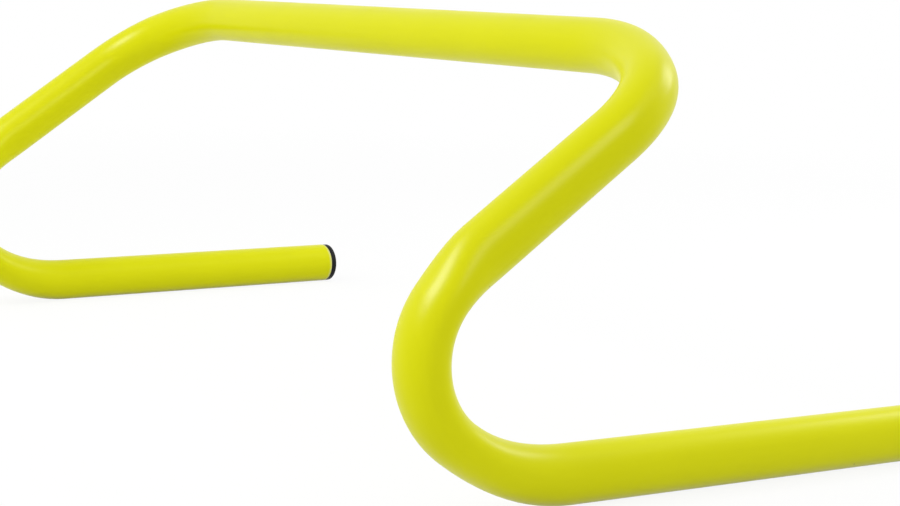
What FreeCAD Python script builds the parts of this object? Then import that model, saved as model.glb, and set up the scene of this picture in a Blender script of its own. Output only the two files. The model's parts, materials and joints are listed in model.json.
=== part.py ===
import FreeCAD, Part
import os

import Sketcher
from FreeCAD import Vector

# A low training hurdle. One plastic tube is bent four times: a crossbar, two shoulders, two
# sloping legs, two heels and two feet that lie on the floor. Each bend has wide and tight
# stretches, and flattens the tube a little. A moulded plug closes each end.
# X runs along the crossbar, Y along the feet from heel to tube end, and Z up from the floor.
# The origin is on the floor, in the middle of the space that the hurdle takes up there.
# Lengths are in millimetres and angles in degrees.
SIZES = (
    ("tube_diameter", 20.0, "outside of the tube where it is straight"),
    ("tube_wall", 2.0, "wall of the tube"),
    ("bar_top", 155.0, "floor to the top of the crossbar"),
    ("leg_span", 420.0, "leg to leg, between centrelines"),
    ("leg_slope", 35.0, "leg above the floor, in degrees"),
    ("foot_reach", 99.0, "crossbar to the end of the foot, along Y"),
    ("foot_splay", 2.4, "foot turned outwards, in degrees"),
    ("shoulder_radius", 80.0, "centreline of the shoulder, which leaves the crossbar in a wide bend"),
    ("shoulder_turn", 36.0, "turn of the shoulder, in degrees"),
    ("elbow_radius", 40.0, "centreline of the elbow, the tighter bend from shoulder to leg"),
    ("calf_radius", 75.0, "centreline of the calf, where the leg starts to bend"),
    ("calf_turn", 16.0, "turn of the calf, in degrees"),
    ("heel_radius", 32.0, "centreline of the heel, the tightest bend"),
    ("instep_radius", 68.0, "centreline of the instep, a wide bend down to the foot"),
    ("instep_turn", 37.0, "turn of the instep, in degrees"),
    ("elbow_flattening", 1.0, "depth that the tube loses between shoulder and elbow, and gains in breadth"),
    ("heel_flattening", 3.7, "depth that the tube loses in the heel, and gains in breadth"),
    ("plug_dome", 3.9, "height of the plug's head at its middle"),
    ("plug_rim", 2.9, "height of the plug's head at its edge"),
    ("plug_inset", 0.1, "step from the tube's outside in to the plug's head"),
    ("stem_length", 14.0, "plug's hollow stem inside the tube"),
    ("stem_wall", 1.4, "wall of the stem"),
    ("rib_height", 1.2, "stem to the edge of a rib"),
    ("rib_root", 1.6, "rib where it meets the stem"),
    ("rib_edge", 1.0, "rib at its edge"),
    ("rib_first", 2.6, "plug's head to the middle of the first rib"),
    ("rib_pitch", 4.0, "rib to rib along the stem"),
    ("rib_count", 3, "ribs on a stem"),
    ("rib_clearance", 0.05, "rib's edge to the bore, once it is pressed in"),
)

# Shoulder and elbow turn the tube square to the crossbar. Calf, heel and instep turn it back
# along the floor.
TURNS = (
    ("shoulder", "Sizes.shoulder_turn * 1 deg"),
    ("elbow", "90 deg - Turns.shoulder"),
    ("calf", "Sizes.calf_turn * 1 deg"),
    ("instep", "Sizes.instep_turn * 1 deg"),
    ("leg_to_foot", "acos(-cos(Sizes.leg_slope) * cos(Sizes.foot_splay))"),
    ("leg_to_instep", "Turns.leg_to_foot - Turns.instep"),
    ("heel", "Turns.leg_to_instep - Turns.calf"),
    ("calf_slope", "Sizes.leg_slope * 1 deg + Turns.calf"),
    ("leg_twist", "90 deg + atan(tan(Sizes.foot_splay) / sin(Sizes.leg_slope))"),
)

# Each bend, with how far the tube has turned where it starts and where it ends. Shoulder and elbow
# turn away from the crossbar's line, and the others from the leg's.
BENDS = (
    ("shoulder", "0 deg", "Turns.shoulder"),
    ("elbow", "Turns.shoulder", "90 deg"),
    ("calf", "0 deg", "Turns.calf"),
    ("heel", "Turns.calf", "Turns.leg_to_instep"),
    ("instep", "Turns.leg_to_instep", "Turns.leg_to_foot"),
)


def along(name, first, last):
    """How far a bend leads on along the line that its turns are counted from."""
    return f"Sizes.{name}_radius * (sin({last}) - sin({first}))"


def across(name, first, last):
    """How far a bend leads away from that line."""
    return f"Sizes.{name}_radius * (cos({first}) - cos({last}))"


# Lengths that follow from the sizes. A corner is where two straight centrelines would meet.
LENGTHS = (
    ("tube_half", "Sizes.tube_diameter / 2"),
    ("bore_half", "Lengths.tube_half - Sizes.tube_wall"),
    ("elbow_depth", "Lengths.tube_half - Sizes.elbow_flattening / 2"),
    ("elbow_breadth", "Lengths.tube_half + Sizes.elbow_flattening / 2"),
    ("heel_depth", "Lengths.tube_half - Sizes.heel_flattening / 2"),
    ("heel_breadth", "Lengths.tube_half + Sizes.heel_flattening / 2"),
    ("bar_height", "Sizes.bar_top - Lengths.tube_half"),
    ("bar_rise", "Sizes.bar_top - Sizes.tube_diameter"),
    ("leg_corners", "Lengths.bar_rise / sin(Sizes.leg_slope)"),
    ("heel_setback", "Lengths.bar_rise / tan(Sizes.leg_slope)"),
    ("foot_corner", "(Sizes.foot_reach + Lengths.heel_setback) / cos(Sizes.foot_splay)"),
    *((item[0] + "_along", along(*item)) for item in BENDS),
    *((item[0] + "_across", across(*item)) for item in BENDS),
    ("back_along", "Lengths.calf_along + Lengths.heel_along + Lengths.instep_along"),
    ("back_across", "Lengths.calf_across + Lengths.heel_across + Lengths.instep_across"),
    ("heel_on_leg", "Lengths.back_along - Lengths.back_across / tan(Turns.leg_to_foot)"),
    ("heel_on_foot", "Lengths.back_across / sin(Turns.leg_to_foot)"),
    ("elbow_on_leg", "Lengths.shoulder_across + Lengths.elbow_across"),
    ("bar_run", "Sizes.leg_span / 2 - Lengths.shoulder_along - Lengths.elbow_along"),
    ("leg_run", "Lengths.leg_corners - Lengths.elbow_on_leg - Lengths.heel_on_leg"),
    ("foot_run", "Lengths.foot_corner - Lengths.heel_on_foot"),
    ("leg_reach", "(Lengths.leg_corners - Lengths.heel_on_leg) * cos(Sizes.leg_slope)"),
    ("calf_bulge", along("calf", "Sizes.leg_slope", "Turns.calf_slope")),
    ("heel_bulge", along("heel", "Turns.calf_slope", "90 deg")),
    ("heel_reach", "Lengths.leg_reach + Lengths.calf_bulge + Lengths.heel_bulge + Lengths.heel_depth"),
    ("bar_offset", "(Lengths.heel_reach - Sizes.foot_reach - Sizes.plug_dome) / 2"),
    ("rib_half", "Lengths.bore_half - Sizes.rib_clearance"),
    ("stem_half", "Lengths.rib_half - Sizes.rib_height"),
    ("stem_bore", "Lengths.stem_half - Sizes.stem_wall"),
    ("stem_middle", "Lengths.stem_half - Sizes.stem_wall / 2"),
    ("rib_level", "Sizes.stem_length - Sizes.rib_first"),
    ("head_half", "Lengths.tube_half - Sizes.plug_inset"),
    ("rim_level", "Sizes.stem_length + Sizes.plug_rim"),
    ("dome_level", "Sizes.stem_length + Sizes.plug_dome"),
)


def feed(length):
    """A step straight on along the tube."""
    return f"placement(vector(0; 0; {length}); rotation(vector(0; 0; 1); 0))"


def bend(radius, turn):
    """A step round a bend, towards the local Y."""
    spot = f"vector(0; {radius} * (1 - cos({turn})); {radius} * sin({turn}))"
    return f"placement({spot}; rotation(vector(1; 0; 0); -({turn})))"


def twist(turn):
    """A step that only turns the tube about its own line."""
    return f"placement(vector(0; 0; 0); rotation(vector(0; 0; 1); {turn}))"


# Places along the right half of the tube, from the middle of the crossbar to the end of the
# foot. Each has its Z along the tube and its Y towards the inside of the next bend.
BAR_TURN = "rotation(vector(1; 0; 0); 180 + Sizes.leg_slope) * rotation(vector(0; 1; 0); 90)"
BAR_PLACE = f"placement(vector(0; Lengths.bar_offset; Lengths.bar_height); {BAR_TURN})"
STEPS = (
    ("bar_end", "bar_middle", (feed("Lengths.bar_run"),)),
    ("shoulder_end", "bar_end", (bend("Sizes.shoulder_radius", "Turns.shoulder"),)),
    ("leg_start", "shoulder_end", (bend("Sizes.elbow_radius", "Turns.elbow"),)),
    ("leg_end", "leg_start", (feed("Lengths.leg_run"), twist("Turns.leg_twist"))),
    ("heel_start", "leg_end", (bend("Sizes.calf_radius", "Turns.calf"),)),
    ("heel_end", "heel_start", (bend("Sizes.heel_radius", "Turns.heel"),)),
    ("foot_start", "heel_end", (bend("Sizes.instep_radius", "Turns.instep"),)),
    ("foot_end", "foot_start", (feed("Lengths.foot_run"),)),
    ("right_plug", "foot_end", (feed("-Sizes.stem_length"),)),
)
CHAIN = tuple((name, " * ".join(("Places." + last, *steps))) for name, last, steps in STEPS)
PLACES = (("bar_middle", BAR_PLACE), *CHAIN)

# The right plug stands at the end of that line, and the left one is opposite.
RIGHT_PLUG = "Places.right_plug"
LEFT_SPOT = f"vector(-{RIGHT_PLUG}.Base.x; {RIGHT_PLUG}.Base.y; {RIGHT_PLUG}.Base.z)"
LEFT_TURN = "rotation(vector(0; 0; 1); Sizes.foot_splay) * rotation(vector(1; 0; 0); -90)"
LEFT_PLUG = f"placement({LEFT_SPOT}; {LEFT_TURN})"

# Steps in which a bend's section changes, from the round tube to the flattened one or back.
OVAL_STEPS = 8

# Names for a sketch's fixed geometry and for the ends of an edge.
ORIGIN = (-1, 1)
LEVEL = -1
UPRIGHT = -2
START = 1
END = 2
CENTRE = 3

doc = FreeCAD.newDocument("hurdle")
sheet = doc.addObject("Spreadsheet::Sheet", "Sizes")


def fill_sheet():
    """The driving sizes, one to a row, with a note beside each."""
    for row, (alias, size, note) in enumerate(SIZES, start=1):
        sheet.set(f"A{row}", note)
        sheet.set(f"B{row}", str(size))
        sheet.setAlias(f"B{row}", alias)
    doc.recompute()


def add_values():
    """The turns, lengths and places that follow from the sheet."""
    value_sets = (
        ("Turns", "App::PropertyAngle", TURNS),
        ("Lengths", "App::PropertyFloat", LENGTHS),
        ("Places", "App::PropertyPlacement", PLACES),
    )
    for group, kind, rules in value_sets:
        values = doc.addObject("App::VarSet", group)
        for name, rule in rules:
            values.addProperty(kind, name, group)
    for group, kind, rules in value_sets:
        for name, rule in rules:
            doc.getObject(group).setExpression(name, rule)
    doc.recompute()


def number(rule):
    """What a rule comes to now, for geometry that a constraint then holds."""
    return float(sheet.evalExpression(rule))


def origin_item(body, role):
    """One of the body's own planes or axes."""
    return next(item for item in body.Origin.OriginFeatures if item.Role == role)


def new_sketch(body, name, role="XY_Plane"):
    """An empty sketch on one of the body's own planes."""
    sketch = body.newObject("Sketcher::SketchObject", name)
    sketch.AttachmentSupport = [(origin_item(body, role), "")]
    sketch.MapMode = "FlatFace"
    return sketch


def hold(sketch, name, rule, kind, *where):
    """A named size on a sketch, bound to a rule."""
    index = sketch.addConstraint(Sketcher.Constraint(kind, *where, number(rule)))
    sketch.renameConstraint(index, name)
    sketch.setExpression("Constraints." + name, rule)


def add_round(sketch, name, half):
    """A circle about the sketch's origin."""
    edge = sketch.addGeometry(Part.Circle(Vector(), Vector(0, 0, 1), number(half)))
    sketch.addConstraint(Sketcher.Constraint("Coincident", edge, CENTRE, *ORIGIN))
    hold(sketch, name, half, "Radius", edge)


def add_oval(sketch, name, breadth, depth):
    """An ellipse about the sketch's origin, broad along X."""
    edge = sketch.addGeometry(Part.Ellipse(Vector(), number(breadth), number(depth)))
    sketch.exposeInternalGeometry(edge)
    broad_line = edge + 1
    deep_line = edge + 2
    sketch.addConstraint(Sketcher.Constraint("Coincident", edge, CENTRE, *ORIGIN))
    sketch.addConstraint(Sketcher.Constraint("Horizontal", broad_line))
    hold(sketch, name + "_breadth", f"2 * ({breadth})", "Distance", broad_line)
    hold(sketch, name + "_depth", f"2 * ({depth})", "Distance", deep_line)


def section_at(body, name, place):
    """An empty section of the tube at a place."""
    sketch = new_sketch(body, name)
    sketch.setExpression("AttachmentOffset", place)
    return sketch


def round_section(body, place):
    """The straight tube's section at a place."""
    sketch = section_at(body, place + "_section", "Places." + place)
    add_round(sketch, "outside", "Lengths.tube_half")
    add_round(sketch, "bore", "Lengths.bore_half")


def add_axis(sketch, radius):
    """The line that a bend turns about."""
    right = Vector(number("Lengths.tube_half"), number(radius))
    left = Vector(-right.x, right.y)
    axis = sketch.addGeometry(Part.LineSegment(right, left), True)
    sketch.addConstraint(Sketcher.Constraint("Symmetric", axis, START, axis, END, UPRIGHT))
    hold(sketch, "axis_length", "Sizes.tube_diameter", "Distance", axis)
    hold(sketch, "bend_radius", radius, "DistanceY", *ORIGIN, axis, START)


def add_tube_ovals(sketch, form, share):
    """The tube's outside and bore on the way from round to a bend's oval, with a share of its flattening."""
    ease = share * share * (3 - 2 * share)
    breadth = f"Lengths.tube_half + (Lengths.{form}_breadth - Lengths.tube_half) * {ease}"
    depth = f"Lengths.tube_half + (Lengths.{form}_depth - Lengths.tube_half) * {ease}"
    add_oval(sketch, "outside", breadth, depth)
    add_oval(sketch, "bore", f"{breadth} - Sizes.tube_wall", f"{depth} - Sizes.tube_wall")


def oval_section(body, place, form):
    """The flattened tube's section at a place."""
    sketch = section_at(body, place + "_section", "Places." + place)
    add_tube_ovals(sketch, form, 1)


def turning_section(body, place, form, radius):
    """The flattened tube's section at the start of a steady bend, with the line that it turns about."""
    sketch = section_at(body, place + "_section", "Places." + place)
    add_axis(sketch, radius)
    add_tube_ovals(sketch, form, 1)


def section_of(place):
    """The section that was drawn at a place."""
    return doc.getObject(place + "_section")


def straight(body, name, place):
    """A straight run of tube from a place."""
    pad = body.newObject("PartDesign::Pad", name)
    pad.Profile = section_of(place)
    pad.setExpression("Length", f"Lengths.{name}_run")


def steady_bend(body, name, place):
    """A bend whose section stays the same, about the line in the section at its start."""
    bent = body.newObject("PartDesign::Revolution", name)
    bent.Profile = section_of(place)
    bent.ReferenceAxis = (section_of(place), ["Axis0"])
    bent.setExpression("Angle", f"Turns.{name}")


def changing_bend(body, name, form, start, shares, end):
    """A bend from place to place, with a share of the oval form's flattening at each even step."""
    between = []
    for step, share in enumerate(shares, start=1):
        turn = f"Turns.{name} * {step / OVAL_STEPS}"
        spot = f"Places.{start} * " + bend(f"Sizes.{name}_radius", turn)
        section = section_at(body, f"{name}_section_{step}", spot)
        add_tube_ovals(section, form, share)
        between.append(section)
    loft = body.newObject("PartDesign::AdditiveLoft", name)
    loft.Profile = section_of(start)
    loft.Sections = [*between, section_of(end)]


def make_tube():
    """The bent tube: its right half, run by run, and then the left half as its mirror image."""
    body = doc.addObject("PartDesign::Body", "tube")
    for place in ("bar_middle", "bar_end", "leg_start", "leg_end", "foot_start"):
        round_section(body, place)
    oval_section(body, "shoulder_end", "elbow")
    turning_section(body, "heel_start", "heel", "Sizes.heel_radius")
    oval_section(body, "heel_end", "heel")
    rising = [step / OVAL_STEPS for step in range(1, OVAL_STEPS)]
    falling = rising[::-1]
    straight(body, "bar", "bar_middle")
    changing_bend(body, "shoulder", "elbow", "bar_end", rising, "shoulder_end")
    changing_bend(body, "elbow", "elbow", "shoulder_end", falling, "leg_start")
    straight(body, "leg", "leg_start")
    changing_bend(body, "calf", "heel", "leg_end", rising, "heel_start")
    steady_bend(body, "heel", "heel_start")
    changing_bend(body, "instep", "heel", "heel_end", falling, "foot_start")
    straight(body, "foot", "foot_start")
    doc.recompute()
    mirror = body.newObject("PartDesign::Mirrored", "left_half")
    mirror.TransformMode = "Whole shape"
    mirror.MirrorPlane = (origin_item(body, "YZ_Plane"), [""])
    body.Tip = mirror
    return body


def pin_point(sketch, name, spot, across, up):
    """A corner of a profile, held by its distance from the axis and from the level line."""
    for kind, fixed_line, rule in (("DistanceX", UPRIGHT, across), ("DistanceY", LEVEL, up)):
        if rule == "0":
            sketch.addConstraint(Sketcher.Constraint("PointOnObject", *spot, fixed_line))
        else:
            hold(sketch, name + kind, rule, kind, *ORIGIN, *spot)


def add_outline(sketch, corners):
    """Straight edges from corner to corner, each corner held. Returns the edges."""
    spots = [Vector(number(across), number(up)) for across, up in corners]
    edges = [sketch.addGeometry(Part.LineSegment(*pair)) for pair in zip(spots, spots[1:])]
    for edge, following in zip(edges, edges[1:]):
        sketch.addConstraint(Sketcher.Constraint("Coincident", edge, END, following, START))
    for index, (edge, (across, up)) in enumerate(zip(edges, corners)):
        pin_point(sketch, f"corner_{index}_", (edge, START), across, up)
    pin_point(sketch, "corner_last_", (edges[-1], END), *corners[-1])
    return edges


def revolve(body, name, sketch):
    """A full turn of a profile about the plug's axis."""
    solid = body.newObject("PartDesign::Revolution", name)
    solid.Profile = sketch
    solid.ReferenceAxis = (sketch, ["V_Axis"])
    solid.Angle = 360


def add_dome(sketch, edges):
    """The head's domed top, an arc from its rim to the axis."""
    rim = sketch.getPoint(edges[0], START)
    top = sketch.getPoint(edges[-1], END)
    rise = top.y - rim.y
    radius = (rim.x * rim.x + rise * rise) / (2 * rise)
    middle = Vector(rim.x / 2, top.y - radius + (radius * radius - rim.x * rim.x / 4) ** 0.5)
    dome = sketch.addGeometry(Part.Arc(rim, middle, top))
    sketch.addConstraint(Sketcher.Constraint("Coincident", dome, START, edges[0], START))
    sketch.addConstraint(Sketcher.Constraint("Coincident", dome, END, edges[-1], END))
    sketch.addConstraint(Sketcher.Constraint("PointOnObject", dome, CENTRE, UPRIGHT))


def make_plug(name, place):
    """A plug: a domed head that covers the tube's end, and a hollow stem with ribs in the bore."""
    body = doc.addObject("PartDesign::Body", name)
    body.setExpression("Placement", place)
    profile = new_sketch(body, name + "_profile", "XZ_Plane")
    corners = (
        ("Lengths.head_half", "Lengths.rim_level"),
        ("Lengths.head_half", "Sizes.stem_length"),
        ("Lengths.stem_half", "Sizes.stem_length"),
        ("Lengths.stem_half", "0"),
        ("Lengths.stem_bore", "0"),
        ("Lengths.stem_bore", "Sizes.stem_length"),
        ("0", "Sizes.stem_length"),
        ("0", "Lengths.dome_level"),
    )
    add_dome(profile, add_outline(profile, corners))
    revolve(body, name + "_head", profile)
    rib_profile = new_sketch(body, name + "_rib_profile", "XZ_Plane")
    rib = (
        ("Lengths.stem_middle", "Lengths.rib_level - Sizes.rib_root / 2"),
        ("Lengths.rib_half", "Lengths.rib_level - Sizes.rib_edge / 2"),
        ("Lengths.rib_half", "Lengths.rib_level + Sizes.rib_edge / 2"),
        ("Lengths.stem_middle", "Lengths.rib_level + Sizes.rib_root / 2"),
    )
    edges = add_outline(rib_profile, rib)
    last_corner = rib_profile.getPoint(edges[-1], END)
    first_corner = rib_profile.getPoint(edges[0], START)
    root = rib_profile.addGeometry(Part.LineSegment(last_corner, first_corner))
    rib_profile.addConstraint(Sketcher.Constraint("Coincident", root, START, edges[-1], END))
    rib_profile.addConstraint(Sketcher.Constraint("Coincident", root, END, edges[0], START))
    revolve(body, name + "_rib", rib_profile)
    doc.recompute()
    ribs = body.newObject("PartDesign::LinearPattern", name + "_ribs")
    ribs.Originals = [doc.getObject(name + "_rib")]
    ribs.Direction = (origin_item(body, "Z_Axis"), [""])
    ribs.Reversed = True
    ribs.Mode = "Spacing"
    ribs.setExpression("Offset", "Sizes.rib_pitch")
    ribs.setExpression("Occurrences", "Sizes.rib_count")
    body.Tip = ribs
    return body


def check(nodes):
    """Stops if any object failed, or a piece isn't one sound solid."""
    failed = [item.Name for item in doc.Objects if {"Invalid", "Error"} & set(item.State)]
    if failed:
        raise RuntimeError(f"failed: {failed}")
    for node in nodes:
        shape = node.Shape
        if shape.isNull() or not shape.isValid() or len(shape.Solids) != 1:
            raise RuntimeError(f"{node.Label} isn't one sound solid")


def main():
    fill_sheet()
    add_values()
    nodes = [
        make_tube(),
        make_plug("left_end_plug", LEFT_PLUG),
        make_plug("right_end_plug", RIGHT_PLUG),
    ]
    doc.recompute()
    check(nodes)
    os.makedirs("parts", exist_ok=True)
    for node in nodes:
        node.Shape.exportStep(f"parts/{node.Label}.step")
        print(node.Label, round(node.Shape.Volume, 1), "cubic mm")


main()
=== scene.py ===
import json
import math

import bmesh
import bpy
from bpy.props import FloatProperty, FloatVectorProperty, IntProperty, PointerProperty
from mathutils import Matrix, Vector


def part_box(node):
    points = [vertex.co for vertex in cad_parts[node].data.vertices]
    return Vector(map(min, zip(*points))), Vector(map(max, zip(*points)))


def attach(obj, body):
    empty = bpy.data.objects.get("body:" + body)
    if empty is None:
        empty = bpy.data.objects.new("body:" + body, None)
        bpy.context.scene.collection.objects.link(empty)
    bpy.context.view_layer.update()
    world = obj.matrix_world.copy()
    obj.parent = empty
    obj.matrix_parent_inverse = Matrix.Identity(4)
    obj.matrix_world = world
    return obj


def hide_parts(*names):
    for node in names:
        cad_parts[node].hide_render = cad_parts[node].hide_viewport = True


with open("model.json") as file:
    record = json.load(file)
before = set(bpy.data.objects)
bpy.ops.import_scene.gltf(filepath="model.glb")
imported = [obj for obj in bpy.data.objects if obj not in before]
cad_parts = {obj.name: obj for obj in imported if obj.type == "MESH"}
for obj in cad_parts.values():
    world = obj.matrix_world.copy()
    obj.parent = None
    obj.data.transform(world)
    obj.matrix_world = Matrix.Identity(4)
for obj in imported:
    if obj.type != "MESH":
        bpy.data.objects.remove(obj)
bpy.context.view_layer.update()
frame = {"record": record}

bl_info = {
    "name": "Speed Hurdle",
    "version": (1, 0, 0),
    "blender": (4, 5, 0),
    "location": "View3D > Sidebar > Hurdle",
    "description": "Bends, plugs and lights a low training hurdle",
    "category": "Add Mesh",
}

# The frame gives the right foot: where its tube runs, how thick it is and how long it stays straight.
MILLIMETRE = 0.001
RIGHT_FOOT = next(m for m in frame["record"]["mounts"] if m["name"] == "right_foot_tube")
FOOT_MIDDLE = Vector(RIGHT_FOOT["pos_m"])
FOOT_LINE = Vector(RIGHT_FOOT["axis"]).normalized()
FOOT_RUN = RIGHT_FOOT["dims"]["length_mm"] * MILLIMETRE
FOOT_END = FOOT_MIDDLE + FOOT_LINE * FOOT_RUN / 2
TUBE_DIAMETER = 2 * RIGHT_FOOT["dims"]["r_mm"] * MILLIMETRE
FOOT_SPLAY = math.atan2(FOOT_LINE.x, FOOT_LINE.y)

BODY = "root"

# Points nearer than TOUCH are one point. A piece may leave its CAD node by FIT_SLACK.
TOUCH = 1e-6
FIT_SLACK = 0.001
SMOOTH_ANGLE = math.radians(40)
SQUARE = math.radians(90)

# Steps of the plug's dome and of its rounded edge.
DOME_STEPS = 12
ROUND_STEPS = 6

PAPER_SIDES = 96
NEAREST_SEEN = 0.01
WHITE = (1.0, 1.0, 1.0, 1.0)

# Each softbox: its name, place, width, height and power in watts, and whether it is only a card for
# highlights, which shows in reflections and lights nothing.
SOFTBOX_AIM = (0.12, 0.0, 0.06)
SOFTBOXES = (
    ("Back softbox", (0.07, 1.02, 0.70), 0.36, 0.48, 3.5, False),
    ("Front softbox", (-0.12, -0.74, 0.68), 0.40, 0.40, 2.8, False),
    ("Side softbox", (0.52, 0.41, 0.89), 0.40, 0.40, 0.5, False),
    ("Front card", (-0.11, -0.61, 0.74), 0.40, 0.30, 9.5, True),
    ("Side card", (0.79, 0.01, 0.73), 0.36, 0.36, 3.6, True),
)


def length(name, default, description):
    """A length that a user may change."""
    return FloatProperty(name=name, description=description, default=default, min=0, unit="LENGTH")


def angle(name, degrees, description):
    """An angle that a user may change."""
    return FloatProperty(
        name=name, description=description, default=math.radians(degrees), subtype="ANGLE"
    )


def share(name, default, description):
    """A part of a whole that a user may change."""
    return FloatProperty(
        name=name, description=description, default=default, min=0, max=1, subtype="FACTOR"
    )


def colour(name, default, description):
    """A colour that a user may change."""
    return FloatVectorProperty(
        name=name, description=description, default=default, size=3, min=0, max=1, subtype="COLOR"
    )


def place(name, default, description):
    """A place in the frame that a user may change."""
    return FloatVectorProperty(
        name=name, description=description, default=default, size=3, subtype="XYZ_LENGTH"
    )


class TubeSizes(bpy.types.PropertyGroup):
    """What the tube bender is set to."""

    diameter: length("Diameter", TUBE_DIAMETER, "Outside of the tube where it is straight")
    wall: length("Wall", 0.002, "Wall of the tube")
    bar_top: length("Bar Top", 0.155, "Floor to the top of the crossbar")
    leg_span: length("Leg Span", 0.420, "Leg to leg, between centrelines")
    leg_slope: angle("Leg Slope", 35, "Leg above the floor")
    foot_reach: length("Foot Reach", 0.099, "Crossbar to the end of the foot")
    shoulder_radius: length("Shoulder Radius", 0.080, "Wide bend at the end of the crossbar")
    shoulder_turn: angle("Shoulder Turn", 36, "Turn in the wide bend, and the elbow makes up the square")
    elbow_radius: length("Elbow Radius", 0.040, "Tight bend between shoulder and leg")
    calf_radius: length("Calf Radius", 0.075, "Wide bend at the foot of the leg")
    calf_turn: angle("Calf Turn", 16, "Turn in that bend")
    heel_radius: length("Heel Radius", 0.032, "Tight bend between calf and instep")
    instep_radius: length("Instep Radius", 0.068, "Wide bend at the start of the foot")
    instep_turn: angle("Instep Turn", 37, "Turn in that bend")
    elbow_flat: length("Elbow Flattening", 0.0010, "Depth that it loses between shoulder and elbow")
    heel_flat: length("Heel Flattening", 0.0037, "Depth that it loses in the heel")
    end_round: length("End Rounding", 0.0003, "Rounding of the sawn ends")
    sawn_band: length("Sawn Band", 0.0016, "How far the saw's pale mark runs up the tube")
    sides: IntProperty(name="Sides", description="Points round the tube", default=72, min=12)
    ring_step: length("Ring Step", 0.004, "Longest step from ring to ring")
    bend_step: angle("Bend Step", 3, "Largest turn from ring to ring in a bend")


class PlugSizes(bpy.types.PropertyGroup):
    """What the plug's mould is cut to."""

    dome: length("Dome", 0.0039, "Height of the head at its middle")
    rim: length("Rim", 0.0029, "Height of the head at its edge")
    inset: length("Inset", 0.0001, "Step from the tube's outside in to the head")
    stem_length: length("Stem Length", 0.014, "Hollow stem inside the tube")
    stem_wall: length("Stem Wall", 0.0014, "Wall of the stem")
    rib_height: length("Rib Height", 0.0012, "Stem to the edge of a rib")
    rib_root: length("Rib Root", 0.0016, "Rib where it meets the stem")
    rib_edge: length("Rib Edge", 0.0010, "Rib at its edge")
    rib_first: length("First Rib", 0.0026, "Head to the middle of the first rib")
    rib_pitch: length("Rib Pitch", 0.004, "Rib to rib along the stem")
    rib_count: IntProperty(name="Ribs", description="Ribs on a stem", default=3, min=0)
    rib_clearance: length("Rib Clearance", 0.00005, "Rib's edge to the bore")
    gate_radius: length("Gate Radius", 0.0011, "Sunk mark where the mould was filled")
    gate_depth: length("Gate Depth", 0.0002, "Depth of that mark")
    gate_slope: length("Gate Slope", 0.000165, "Breadth of its sloping side")
    gate_lip: length("Gate Lip", 0.00004, "How far its edge lies below the top of the dome")
    head_round: length("Head Rounding", 0.0006, "Rounding of the head's edge")
    edge_round: length("Edge Rounding", 0.00015, "Rounding of the other moulded edges")
    sides: IntProperty(name="Sides", description="Points round the plug", default=96, min=12)


class Finishes(bpy.types.PropertyGroup):
    """Colours of the two plastics."""

    yellow: colour("Yellow", (0.775, 0.78, 0.002), "Tube in full light")
    deep_yellow: colour("Deep Yellow", (0.735, 0.74, 0.0), "Slightly darker streaks in the tube")
    sawn_yellow: colour("Sawn Yellow", (0.72, 0.73, 0.42), "Paler plastic at the sawn ends")
    speck: colour("Speck", (0.20, 0.19, 0.03), "Grit moulded into the tube")
    black: colour("Black", (0.004, 0.004, 0.0045), "Plug")
    rubbed_black: colour("Rubbed Black", (0.014, 0.014, 0.014), "Plug where it is handled")


class StageSettings(bpy.types.PropertyGroup):
    """Camera, lamps and floor."""

    camera_place: place("Camera", (0.68698, -0.40662, 0.16276), "Where the camera stands")
    camera_tilt: angle("Camera Tilt", 82.064, "Camera turned up from looking straight down")
    camera_roll: angle("Camera Roll", -1.905, "Camera leaning to one side")
    camera_heading: angle("Camera Heading", 56.918, "Camera turned about the upright")
    lens: FloatProperty(name="Lens", description="Focal length", default=75.31, min=1, unit="CAMERA")
    room_light: share("Room Light", 0.735, "Even light from all round")
    paper_glow: share("Paper Glow", 0.90, "How much of the white paper shines by itself")
    paper_tone: share("Paper Tone", 0.73, "How much light the paper throws back at the hurdle")
    paper_white: share("Paper White", 0.97, "How white the paper itself looks")
    floor_radius: length("Floor Radius", 12.0, "White floor round the hurdle")
    shadow_near: length("Shadow Near", 0.5, "Distance within which the floor takes a full shadow")
    shadow_far: length("Shadow Far", 1.5, "Distance past which the floor is only white")


def settings():
    """The four groups of settings, which the scene keeps."""
    scene = bpy.context.scene
    return scene.hurdle_tube, scene.hurdle_plug, scene.hurdle_finishes, scene.hurdle_stage


# Modelling


def start_ring(name, sides, radius):
    """A ring about the origin, ready for shaping in edit mode."""
    bpy.ops.object.select_all(action="DESELECT")
    bpy.ops.mesh.primitive_circle_add(vertices=sides, radius=radius)
    piece = bpy.context.object
    piece.name = name
    piece.data.name = name
    bpy.ops.object.mode_set(mode="EDIT")
    bpy.ops.mesh.select_mode(type="VERT")
    bpy.ops.mesh.select_all(action="SELECT")
    return piece


def apply_modifier(piece, kind, **values):
    """A modifier with these values, applied at once."""
    modifier = piece.modifiers.new(kind.title(), kind)
    for name, value in values.items():
        setattr(modifier, name, value)
    bpy.ops.object.modifier_apply(modifier=modifier.name)


def lay_in_place(piece, matrix):
    """Moves a piece from the bench to its place, which goes into its mesh."""
    piece.matrix_world = matrix
    bpy.ops.object.transform_apply(location=True, rotation=True, scale=True)


def face_outwards():
    """Merges points that coincide and turns all faces outwards."""
    bpy.ops.object.mode_set(mode="EDIT")
    bpy.ops.mesh.select_all(action="SELECT")
    bpy.ops.mesh.remove_doubles(threshold=TOUCH)
    bpy.ops.mesh.normals_make_consistent(inside=False)
    bpy.ops.object.mode_set(mode="OBJECT")


def ease(way):
    """A way from nought to one that starts and ends gently."""
    return way * way * (3 - 2 * way)


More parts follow.
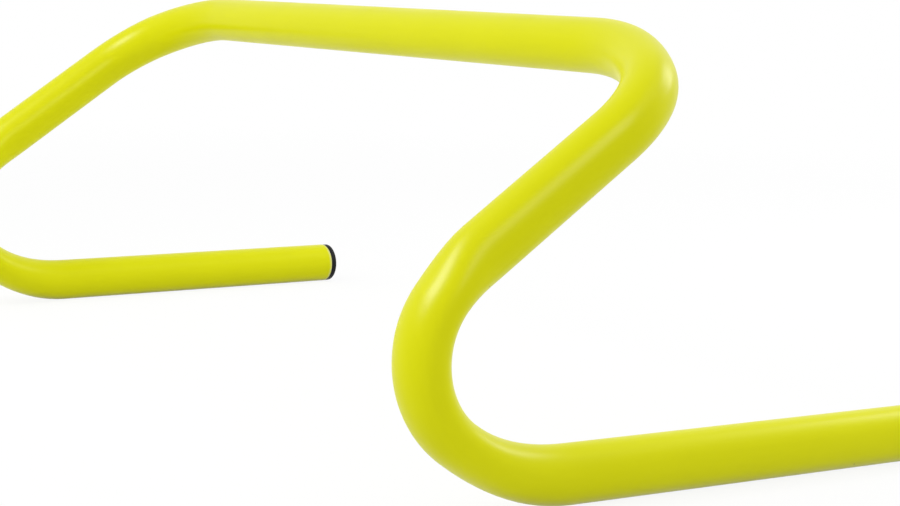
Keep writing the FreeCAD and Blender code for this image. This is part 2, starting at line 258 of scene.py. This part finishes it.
class Bench:
    """A tube bender. The tube's working end lies at the origin, faces up and bends towards +Y."""

    def __init__(self, tube, sizes):
        self.tube = tube
        self.sizes = sizes
        self.half = sizes.diameter / 2
        self.flat = 0.0
        self.run = 0.0
        mesh = bmesh.from_edit_mesh(tube.data)
        unbent = mesh.verts.layers.float_vector.new("unbent")
        sawn = mesh.verts.layers.float.new("sawn")
        for point in mesh.verts:
            point[unbent] = (0, point.co.x, point.co.y)
            point[sawn] = 1.0
        bmesh.update_edit_mesh(tube.data)

    def take_up(self, step):
        """Selects the new working end, and notes how far along the tube it lies."""
        self.run += step
        mesh = bmesh.from_edit_mesh(self.tube.data)
        unbent = mesh.verts.layers.float_vector["unbent"]
        sawn = mesh.verts.layers.float["sawn"]
        for point in mesh.verts:
            at_end = abs(point.co.z) < TOUCH and point.co.length < self.sizes.diameter
            point.select_set(at_end)
            if at_end:
                point[unbent] = (self.run, point[unbent].y, point[unbent].z)
                point[sawn] = 0.0
        mesh.select_flush_mode()
        bmesh.update_edit_mesh(self.tube.data)

    def squeeze(self, flat):
        """Flattens the working end: what it loses in depth it gains in breadth."""
        breadth = (self.half + flat / 2) / (self.half + self.flat / 2)
        depth = (self.half - flat / 2) / (self.half - self.flat / 2)
        bpy.ops.transform.resize(value=(breadth, depth, 1), center_override=(0, 0, 0))
        self.flat = flat

    def feed(self, run, flat):
        """Pushes the tube on, while its end eases from one flattening to another."""
        count = math.ceil(run / self.sizes.ring_step)
        step = run / count
        first = self.flat
        for index in range(1, count + 1):
            bpy.ops.mesh.extrude_region_move(TRANSFORM_OT_translate={"value": (0, 0, step)})
            self.squeeze(first + (flat - first) * ease(index / count))
            bpy.ops.mesh.select_all(action="SELECT")
            bpy.ops.transform.translate(value=(0, 0, -step))
            self.take_up(step)

    def bend(self, radius, turn, flat):
        """Bends the tube round a former, while its end eases from one flattening to another."""
        count = math.ceil(turn / self.sizes.bend_step)
        step = turn / count
        former = (0, radius, 0)
        first = self.flat
        for index in range(1, count + 1):
            bpy.ops.mesh.spin(steps=1, angle=step, center=former, axis=(1, 0, 0))
            bpy.ops.mesh.select_all(action="SELECT")
            bpy.ops.transform.rotate(value=-step, orient_axis="X", center_override=former)
            self.take_up(radius * step)
            self.squeeze(first + (flat - first) * ease(index / count))

    def twist(self, turn):
        """Turns the tube about its own line, so that the next bend goes another way."""
        bpy.ops.mesh.select_all(action="SELECT")
        bpy.ops.transform.rotate(value=turn, orient_axis="Z", center_override=(0, 0, 0))
        self.take_up(0)


def reach_of(bends):
    """How far a row of bends runs along its first line, and across it."""
    along = across = turned = 0.0
    for radius, turn in bends:
        along += radius * (math.sin(turned + turn) - math.sin(turned))
        across += radius * (math.cos(turned) - math.cos(turned + turn))
        turned += turn
    return along, across


def bend_half(tube, sizes):
    """The right half of the hurdle, from the end of its foot to the middle of the crossbar."""
    elbow_turn = SQUARE - sizes.shoulder_turn
    leg_to_foot = math.acos(-math.cos(sizes.leg_slope) * math.cos(FOOT_SPLAY))
    heel_turn = leg_to_foot - sizes.calf_turn - sizes.instep_turn
    shoulder = ((sizes.shoulder_radius, sizes.shoulder_turn), (sizes.elbow_radius, elbow_turn))
    back = (
        (sizes.calf_radius, sizes.calf_turn),
        (sizes.heel_radius, heel_turn),
        (sizes.instep_radius, sizes.instep_turn),
    )
    bar_taken, leg_taken = reach_of(shoulder)
    back_along, back_across = reach_of(back)
    heel_taken = back_along - back_across / math.tan(leg_to_foot)
    rise = sizes.bar_top - sizes.diameter
    leg = rise / math.sin(sizes.leg_slope) - leg_taken - heel_taken
    bar = sizes.leg_span / 2 - bar_taken
    splay_twist = math.atan(math.tan(FOOT_SPLAY) / math.sin(sizes.leg_slope))
    bench = Bench(tube, sizes)
    bench.feed(sizes.sawn_band, 0)
    bench.feed(FOOT_RUN - sizes.sawn_band, 0)
    bench.bend(sizes.instep_radius, sizes.instep_turn, sizes.heel_flat)
    bench.bend(sizes.heel_radius, heel_turn, sizes.heel_flat)
    bench.bend(sizes.calf_radius, sizes.calf_turn, 0)
    bench.feed(leg, 0)
    bench.twist(SQUARE + splay_twist)
    bench.bend(sizes.elbow_radius, elbow_turn, sizes.elbow_flat)
    bench.bend(sizes.shoulder_radius, sizes.shoulder_turn, 0)
    bench.feed(bar, 0)


def tube_place(sizes):
    """Where the middle of the crossbar lies, for a tube whose end faces up on the bench."""
    spot = Vector((0, FOOT_END.y - sizes.foot_reach, sizes.bar_top - sizes.diameter / 2))
    slope = Matrix.Rotation(math.pi + sizes.leg_slope, 4, "X")
    return Matrix.Translation(spot) @ slope @ Matrix.Rotation(-SQUARE, 4, "Y")


def plug_outline(sizes, tube):
    """Radius and level of each ring of a plug, from the head's middle to the bottom of its bore."""
    head = tube.diameter / 2 - sizes.inset
    ribs = tube.diameter / 2 - tube.wall - sizes.rib_clearance
    stem = ribs - sizes.rib_height
    bore = stem - sizes.stem_wall
    under = sizes.stem_length
    top = under + sizes.dome
    rise = sizes.dome - sizes.rim
    dome_radius = (head * head + rise * rise) / (2 * rise)
    rings = [(sizes.gate_radius - sizes.gate_slope, top - sizes.gate_depth)]
    rings.append((sizes.gate_radius, top - sizes.gate_lip))
    shoulder = head - sizes.head_round
    for index in range(1, DOME_STEPS + 1):
        radius = shoulder * index / DOME_STEPS
        if radius > 2 * sizes.gate_radius:
            drop = dome_radius - math.sqrt(dome_radius * dome_radius - radius * radius)
            rings.append((radius, top - drop))
    turn_level = rings[-1][1] - sizes.head_round
    for index in range(1, ROUND_STEPS + 1):
        turn = SQUARE * index / ROUND_STEPS
        across = shoulder + sizes.head_round * math.sin(turn)
        rings.append((across, turn_level + sizes.head_round * math.cos(turn)))
    rings += [(head, under), (stem, under)]
    for index in range(sizes.rib_count):
        middle = under - sizes.rib_first - index * sizes.rib_pitch
        rings.append((stem, middle + sizes.rib_root / 2))
        rings.append((ribs, middle + sizes.rib_edge / 2))
        rings.append((ribs, middle - sizes.rib_edge / 2))
        rings.append((stem, middle - sizes.rib_root / 2))
    rings += [(stem, 0), (bore, 0), (bore, under)]
    return rings


def turn_plug(name, sizes, tube):
    """A plug on the bench, drawn ring by ring as on a lathe, with its head up."""
    rings = plug_outline(sizes, tube)
    plug = start_ring(name, sizes.sides, rings[0][0])
    bpy.ops.transform.translate(value=(0, 0, rings[0][1]))
    for (radius, level), (next_radius, next_level) in zip(rings, rings[1:]):
        rise = (0, 0, next_level - level)
        grow = next_radius / radius
        bpy.ops.mesh.extrude_region_move(TRANSFORM_OT_translate={"value": rise})
        bpy.ops.transform.resize(value=(grow, grow, 1), center_override=(0, 0, 0))
    bpy.ops.mesh.select_all(action="SELECT")
    bpy.ops.mesh.fill_holes(sides=0)
    mark_rim(plug, sizes)
    bpy.ops.object.mode_set(mode="OBJECT")
    return plug


def mark_rim(plug, sizes):
    """Notes the edge of the head, where hands and floors rub it."""
    mesh = bmesh.from_edit_mesh(plug.data)
    rubbed = mesh.verts.layers.float.new("rubbed")
    edge = max(Vector(point.co.xy).length for point in mesh.verts)
    for point in mesh.verts:
        at_edge = Vector(point.co.xy).length > edge - sizes.head_round
        point[rubbed] = 1.0 if at_edge and point.co.z > sizes.stem_length + TOUCH else 0.0
    bmesh.update_edit_mesh(plug.data)


def continue_line(tube):
    """Runs the unbent line on through the left half, which is a mirror image of the right one."""
    unbent = tube.data.attributes["unbent"].data
    whole = 2 * max(spot.vector.x for spot in unbent)
    for point, spot in zip(tube.data.vertices, unbent):
        if point.co.x < 0:
            spot.vector = (whole - spot.vector.x, spot.vector.y, spot.vector.z)


def check_fit(piece, node):
    """Stops if a piece has left the place of the node that it stands for."""
    low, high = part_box(node)
    corners = [Vector(corner) for corner in piece.bound_box]
    for axis in range(3):
        reach = [corner[axis] for corner in corners]
        if max(abs(min(reach) - low[axis]), abs(max(reach) - high[axis])) > FIT_SLACK:
            raise RuntimeError(f"{piece.name} doesn't fit {node}")


# Finishes


def put(tree, kind, spot, feeds=None, **values):
    """A node at a spot of the node editor, with its own values and what feeds its sockets."""
    node = tree.nodes.new(kind)
    node.location = spot
    for name, value in values.items():
        setattr(node, name, value)
    for socket, source in (feeds or {}).items():
        if isinstance(source, bpy.types.NodeSocket):
            tree.links.new(source, node.inputs[socket])
        else:
            node.inputs[socket].default_value = source
    return node


def new_group(name, inputs, outputs):
    """An empty node group with named sockets. Returns it with its input node."""
    group = bpy.data.node_groups.new(name, "ShaderNodeTree")
    for title, kind, default in inputs:
        socket = group.interface.new_socket(title, in_out="INPUT", socket_type=kind)
        if default is not None:
            socket.default_value = default
    for title in outputs:
        group.interface.new_socket(title, in_out="OUTPUT", socket_type="NodeSocketFloat")
    return group, put(group, "NodeGroupInput", (-800, 0))


def close_group(group, **results):
    """Wires a group's results to its output node."""
    feeds = {name.replace("_", " "): source for name, source in results.items()}
    put(group, "NodeGroupOutput", (700, 0), feeds)
    return group


def skin_group():
    """A plastic skin: broad soft patches, and a fine grain."""
    group, given = new_group(
        "Plastic skin",
        (
            ("Place", "NodeSocketVector", None),
            ("Patch Scale", "NodeSocketFloat", 25.0),
            ("Grain Scale", "NodeSocketFloat", 1500.0),
        ),
        ("Patches", "Grain"),
    )
    patches = put(group, "ShaderNodeTexNoise", (-500, 150), {
        "Vector": given.outputs["Place"],
        "Scale": given.outputs["Patch Scale"],
        "Detail": 3.0,
    })
    spread = put(group, "ShaderNodeMapRange", (-200, 150), {
        "Value": patches.outputs[0],
        "From Min": 0.3,
        "From Max": 0.7,
    })
    grain = put(group, "ShaderNodeTexNoise", (-500, -150), {
        "Vector": given.outputs["Place"],
        "Scale": given.outputs["Grain Scale"],
        "Detail": 2.0,
    })
    return close_group(group, Patches=spread.outputs[0], Grain=grain.outputs[0])


def marks_group():
    """Marks of use: small specks of grit here and there, and dull scuffs."""
    group, given = new_group(
        "Handling marks",
        (
            ("Place", "NodeSocketVector", None),
            ("Speck Scale", "NodeSocketFloat", 60.0),
            ("Speck Size", "NodeSocketFloat", 0.03),
            ("Scuff Scale", "NodeSocketFloat", 40.0),
        ),
        ("Specks", "Scuffs"),
    )
    cells = put(group, "ShaderNodeTexVoronoi", (-500, 150), {
        "Vector": given.outputs["Place"],
        "Scale": given.outputs["Speck Scale"],
    })
    dots = put(group, "ShaderNodeMapRange", (-200, 150), {
        "Value": cells.outputs["Distance"],
        "From Min": 0.0,
        "From Max": given.outputs["Speck Size"],
        "To Min": 1.0,
        "To Max": 0.0,
    }, interpolation_type="SMOOTHSTEP")
    rubs = put(group, "ShaderNodeTexNoise", (-500, -150), {
        "Vector": given.outputs["Place"],
        "Scale": given.outputs["Scuff Scale"],
        "Detail": 6.0,
        "Distortion": 0.6,
    })
    scuffs = put(group, "ShaderNodeMapRange", (-200, -150), {
        "Value": rubs.outputs[0],
        "From Min": 0.56,
        "From Max": 0.72,
    }, interpolation_type="SMOOTHSTEP")
    return close_group(group, Specks=dots.outputs[0], Scuffs=scuffs.outputs[0])


def edge_group():
    """Wear along an edge: the edge's own mark, broken up."""
    group, given = new_group(
        "Edge wear",
        (
            ("Place", "NodeSocketVector", None),
            ("Edge", "NodeSocketFloat", 0.0),
            ("Break Scale", "NodeSocketFloat", 400.0),
        ),
        ("Wear",),
    )
    breaks = put(group, "ShaderNodeTexNoise", (-500, 100), {
        "Vector": given.outputs["Place"],
        "Scale": given.outputs["Break Scale"],
        "Detail": 3.0,
    })
    spread = put(group, "ShaderNodeMapRange", (-200, 100), {
        "Value": breaks.outputs[0],
        "From Min": 0.3,
        "From Max": 0.6,
    })
    wear = put(group, "ShaderNodeMath", (200, 0), {
        0: given.outputs["Edge"],
        1: spread.outputs[0],
    }, operation="MULTIPLY")
    return close_group(group, Wear=wear.outputs[0])


def use_group(tree, name, spot, feeds):
    """One of the shared groups, placed in a material with its own values."""
    return put(tree, "ShaderNodeGroup", spot, feeds, node_tree=bpy.data.node_groups[name])


def mix_colours(tree, spot, factor, first, second):
    """A colour between two, each a colour or a socket."""
    def full(given):
        return given if isinstance(given, bpy.types.NodeSocket) else (*given, 1.0)
    feeds = {0: factor, 6: full(first), 7: full(second)}
    return put(tree, "ShaderNodeMix", spot, feeds, data_type="RGBA").outputs[2]


def new_material(name):
    """A material with only its output, and that output."""
    material = bpy.data.materials.new(name)
    material.use_nodes = True
    material.node_tree.nodes.clear()
    return material, put(material.node_tree, "ShaderNodeOutputMaterial", (900, 0))


def tube_plastic(colours):
    """Bright yellow tube: faint lines from the die, soft patches, a satin skin and pale sawn ends."""
    material, output = new_material("Yellow tube plastic")
    tree = material.node_tree
    spot = put(tree, "ShaderNodeTexCoord", (-1500, 0)).outputs["Object"]
    unbent = put(tree, "ShaderNodeAttribute", (-1500, -400), attribute_name="unbent")
    sawn = put(tree, "ShaderNodeAttribute", (-1500, 400), attribute_name="sawn")
    stretch = put(tree, "ShaderNodeMapping", (-1250, -400), {
        "Vector": unbent.outputs["Vector"],
        "Scale": (2.5, 420.0, 420.0),
    })
    lines = put(tree, "ShaderNodeTexNoise", (-1000, -400), {
        "Vector": stretch.outputs[0],
        "Scale": 1.0,
        "Detail": 4.0,
    })
    skin = use_group(tree, "Plastic skin", (-1000, 0), {
        "Place": spot,
        "Patch Scale": 22.0,
        "Grain Scale": 1400.0,
    })
    marks = use_group(tree, "Handling marks", (-1000, 250), {
        "Place": spot,
        "Speck Scale": 75.0,
        "Speck Size": 0.035,
        "Scuff Scale": 55.0,
    })
    wear = use_group(tree, "Edge wear", (-1000, 500), {
        "Place": spot,
        "Edge": sawn.outputs["Fac"],
        "Break Scale": 500.0,
    })
    tone = put(tree, "ShaderNodeMath", (-700, -200), {
        0: skin.outputs["Patches"],
        1: lines.outputs[0],
    }, operation="MULTIPLY")
    body = mix_colours(tree, (-450, 0), tone.outputs[0], colours.yellow, colours.deep_yellow)
    gritty = mix_colours(tree, (-200, 100), marks.outputs["Specks"], body, colours.speck)
    sawn_colour = mix_colours(tree, (50, 200), wear.outputs["Wear"], gritty, colours.sawn_yellow)
    satin = put(tree, "ShaderNodeMapRange", (-450, -250), {
        "Value": skin.outputs["Patches"],
        "To Min": 0.29,
        "To Max": 0.34,
    })
    dulled = put(tree, "ShaderNodeMath", (-200, -250), {
        0: marks.outputs["Scuffs"],
        1: 0.06,
        2: satin.outputs[0],
    }, operation="MULTIPLY_ADD")
    relief = put(tree, "ShaderNodeMath", (-450, -500), {
        0: lines.outputs[0],
        1: 0.6,
        2: skin.outputs["Grain"],
    }, operation="MULTIPLY_ADD")
    bump = put(tree, "ShaderNodeBump", (-200, -500), {
        "Strength": 0.12,
        "Distance": 0.0001,
        "Height": relief.outputs[0],
    })
    shader = put(tree, "ShaderNodeBsdfPrincipled", (500, 0), {
        "Base Color": sawn_colour,
        "Roughness": dulled.outputs[0],
        "Specular IOR Level": 0.10,
        "Normal": bump.outputs[0],
    })
    tree.links.new(shader.outputs[0], output.inputs["Surface"])
    return material


def plug_plastic(colours):
    """Black moulded plastic: satin, with a fine mould grain, grey where its rim is rubbed."""
    material, output = new_material("Black plug plastic")
    tree = material.node_tree
    spot = put(tree, "ShaderNodeTexCoord", (-1500, 0)).outputs["Object"]
    rubbed = put(tree, "ShaderNodeAttribute", (-1500, 400), attribute_name="rubbed")
    skin = use_group(tree, "Plastic skin", (-1000, 0), {
        "Place": spot,
        "Patch Scale": 160.0,
        "Grain Scale": 2600.0,
    })
    marks = use_group(tree, "Handling marks", (-1000, 250), {
        "Place": spot,
        "Speck Scale": 420.0,
        "Speck Size": 0.08,
        "Scuff Scale": 300.0,
    })
    wear = use_group(tree, "Edge wear", (-1000, 500), {
        "Place": spot,
        "Edge": rubbed.outputs["Fac"],
        "Break Scale": 900.0,
    })
    dust = put(tree, "ShaderNodeMath", (-700, 300), {
        0: marks.outputs["Scuffs"],
        1: 0.5,
        2: wear.outputs["Wear"],
    }, operation="MULTIPLY_ADD", use_clamp=True)
    handled = mix_colours(tree, (-450, 100), dust.outputs[0], colours.black, colours.rubbed_black)
    satin = put(tree, "ShaderNodeMapRange", (-450, -250), {
        "Value": skin.outputs["Patches"],
        "To Min": 0.36,
        "To Max": 0.48,
    })
    bump = put(tree, "ShaderNodeBump", (-200, -500), {
        "Strength": 0.25,
        "Distance": 0.0001,
        "Height": skin.outputs["Grain"],
    })
    shader = put(tree, "ShaderNodeBsdfPrincipled", (500, 0), {
        "Base Color": handled,
        "Roughness": satin.outputs[0],
        "Specular IOR Level": 0.15,
        "Normal": bump.outputs[0],
    })
    tree.links.new(shader.outputs[0], output.inputs["Surface"])
    return material


# Stage


def seen_rays(tree, spot):
    """One for rays that show a thing to the eye, straight or by reflection, and otherwise nought."""
    path = put(tree, "ShaderNodeLightPath", spot)
    first = put(tree, "ShaderNodeMath", (spot[0] + 200, spot[1]), {
        0: path.outputs["Is Camera Ray"],
        1: path.outputs["Is Glossy Ray"],
    }, operation="MAXIMUM")
    second = put(tree, "ShaderNodeMath", (spot[0] + 400, spot[1]), {
        0: first.outputs[0],
        1: path.outputs["Is Transmission Ray"],
    }, operation="MAXIMUM")
    return second.outputs[0]


def white_paper(stage):
    """White paper that shows as white, and still takes the hurdle's shadow near it."""
    material, output = new_material("White paper")
    tree = material.node_tree
    seen = seen_rays(tree, (-1000, 300))
    spot = put(tree, "ShaderNodeTexCoord", (-1000, -100)).outputs["Object"]
    away = put(tree, "ShaderNodeVectorMath", (-750, -100), {0: spot}, operation="LENGTH")
    glow = put(tree, "ShaderNodeMapRange", (-500, -100), {
        "Value": away.outputs["Value"],
        "From Min": stage.shadow_near,
        "From Max": stage.shadow_far,
        "To Min": stage.paper_glow,
        "To Max": 1.0,
    }, interpolation_type="SMOOTHSTEP")
    shown = put(tree, "ShaderNodeMath", (-250, 100), {0: seen, 1: glow.outputs[0]}, operation="MULTIPLY")
    tone = mix_colours(tree, (-50, -100), seen, [stage.paper_tone] * 3, [stage.paper_white] * 3)
    paper = put(tree, "ShaderNodeBsdfDiffuse", (200, -100), {"Color": tone})
    shine = put(tree, "ShaderNodeEmission", (200, -300), {"Color": WHITE, "Strength": 1.0})
    both = put(tree, "ShaderNodeMixShader", (500, 0), {
        0: shown.outputs[0],
        1: paper.outputs[0],
        2: shine.outputs[0],
    })
    tree.links.new(both.outputs[0], output.inputs["Surface"])
    return material


def light_room(stage):
    """An even room light, in front of a white that shows as white."""
    world = bpy.data.worlds.new("White studio")
    world.use_nodes = True
    tree = world.node_tree
    tree.nodes.clear()
    even = put(tree, "ShaderNodeBackground", (0, 100), {"Color": WHITE, "Strength": stage.room_light})
    white = put(tree, "ShaderNodeBackground", (0, -100), {"Color": WHITE, "Strength": 1.0})
    both = put(tree, "ShaderNodeMixShader", (300, 0), {
        0: seen_rays(tree, (-700, 300)),
        1: even.outputs[0],
        2: white.outputs[0],
    })
    put(tree, "ShaderNodeOutputWorld", (600, 0), {"Surface": both.outputs[0]})
    bpy.context.scene.world = world


def hang_softbox(name, spot, width, height, power, only_card):
    """A softbox or a card, turned towards the hurdle."""
    bpy.ops.object.light_add(type="AREA", location=spot)
    box = bpy.context.object
    box.name = name
    box.data.name = name
    box.data.shape = "RECTANGLE"
    box.data.size = width
    box.data.size_y = height
    box.data.energy = power
    box.visible_camera = False
    box.visible_diffuse = not only_card
    box.rotation_euler = (Vector(SOFTBOX_AIM) - Vector(spot)).to_track_quat("-Z", "Y").to_euler()


def set_camera(stage):
    """The camera, where the photograph was taken from."""
    tilt = (stage.camera_tilt, stage.camera_roll, stage.camera_heading)
    bpy.ops.object.camera_add(location=stage.camera_place, rotation=tilt)
    camera = bpy.context.object
    camera.name = "Camera"
    camera.data.lens = stage.lens
    camera.data.clip_start = NEAREST_SEEN
    bpy.context.scene.camera = camera


# The tools of the sidebar


class HURDLE_OT_bend_tube(bpy.types.Operator):
    """Bend the yellow tube: feet, heels, legs, shoulders and crossbar"""

    bl_idname = "hurdle.bend_tube"
    bl_label = "Bend Tube"

    def execute(self, context):
        sizes, _, colours, _ = settings()
        tube = start_ring("yellow_tube", sizes.sides, sizes.diameter / 2)
        bend_half(tube, sizes)
        bpy.ops.object.mode_set(mode="OBJECT")
        lay_in_place(tube, tube_place(sizes))
        apply_modifier(tube, "MIRROR", merge_threshold=TOUCH)
        continue_line(tube)
        face_outwards()
        apply_modifier(tube, "SOLIDIFY", thickness=sizes.wall, offset=-1, use_even_offset=True)
        apply_modifier(tube, "BEVEL", width=sizes.end_round, segments=2, limit_method="ANGLE")
        bpy.ops.object.shade_smooth_by_angle(angle=SMOOTH_ANGLE)
        check_fit(tube, "tube")
        tube.data.materials.append(tube_plastic(colours))
        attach(tube, BODY)
        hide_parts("tube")
        return {"FINISHED"}


class HURDLE_OT_mould_plugs(bpy.types.Operator):
    """Mould the two black plugs and press them into the ends of the tube"""

    bl_idname = "hurdle.mould_plugs"
    bl_label = "Mould End Plugs"

    def execute(self, context):
        tube_sizes, sizes, colours, _ = settings()
        finish = plug_plastic(colours)
        for side, sign in (("right", 1), ("left", -1)):
            plug = turn_plug(f"{side}_plug", sizes, tube_sizes)
            end = FOOT_END - FOOT_LINE * sizes.stem_length
            spot = Vector((sign * end.x, end.y, end.z))
            splay = Matrix.Rotation(-sign * FOOT_SPLAY, 4, "Z")
            facing = Matrix.Rotation(-SQUARE, 4, "X")
            lay_in_place(plug, Matrix.Translation(spot) @ splay @ facing)
            face_outwards()
            apply_modifier(plug, "BEVEL", width=sizes.edge_round, segments=2, limit_method="ANGLE")
            face_outwards()
            bpy.ops.object.shade_smooth_by_angle(angle=SMOOTH_ANGLE)
            check_fit(plug, f"{side}_end_plug")
            plug.data.materials.append(finish)
            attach(plug, BODY)
            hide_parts(f"{side}_end_plug")
        return {"FINISHED"}


class HURDLE_OT_set_stage(bpy.types.Operator):
    """Lay the white paper, hang the lamps and set the camera"""

    bl_idname = "hurdle.set_stage"
    bl_label = "Set Stage"

    def execute(self, context):
        stage = settings()[3]
        paper = start_ring("paper", PAPER_SIDES, stage.floor_radius)
        bpy.ops.mesh.fill_holes(sides=0)
        bpy.ops.object.mode_set(mode="OBJECT")
        paper.data.materials.append(white_paper(stage))
        light_room(stage)
        for softbox in SOFTBOXES:
            hang_softbox(*softbox)
        set_camera(stage)
        context.scene.view_settings.view_transform = "Standard"
        return {"FINISHED"}


class HURDLE_PT_workbench(bpy.types.Panel):
    """Sizes, colours and tools of the hurdle"""

    bl_label = "Speed Hurdle"
    bl_space_type = "VIEW_3D"
    bl_region_type = "UI"
    bl_category = "Hurdle"

    def draw(self, context):
        for tool in TOOLS:
            self.layout.operator(tool.bl_idname)
        for title, group in zip(("Tube", "Plugs", "Finishes", "Stage"), settings()):
            box = self.layout.box()
            box.label(text=title)
            for name in group.__annotations__:
                box.prop(group, name)


TOOLS = (HURDLE_OT_bend_tube, HURDLE_OT_mould_plugs, HURDLE_OT_set_stage)
GROUPS = {
    "hurdle_tube": TubeSizes,
    "hurdle_plug": PlugSizes,
    "hurdle_finishes": Finishes,
    "hurdle_stage": StageSettings,
}
CLASSES = (*GROUPS.values(), *TOOLS, HURDLE_PT_workbench)


def register():
    """Adds the tools, and the settings to the scene."""
    for kind in CLASSES:
        bpy.utils.register_class(kind)
    for name, group in GROUPS.items():
        setattr(bpy.types.Scene, name, PointerProperty(type=group))


def unregister():
    """Takes the settings and the tools away again."""
    for name in GROUPS:
        delattr(bpy.types.Scene, name)
    for kind in reversed(CLASSES):
        bpy.utils.unregister_class(kind)


def main():
    """Builds the hurdle and its stage."""
    register()
    for build_group in (skin_group, marks_group, edge_group):
        build_group()
    bpy.ops.hurdle.bend_tube()
    bpy.ops.hurdle.mould_plugs()
    bpy.ops.hurdle.set_stage()


if __name__ == "__main__":
    main()
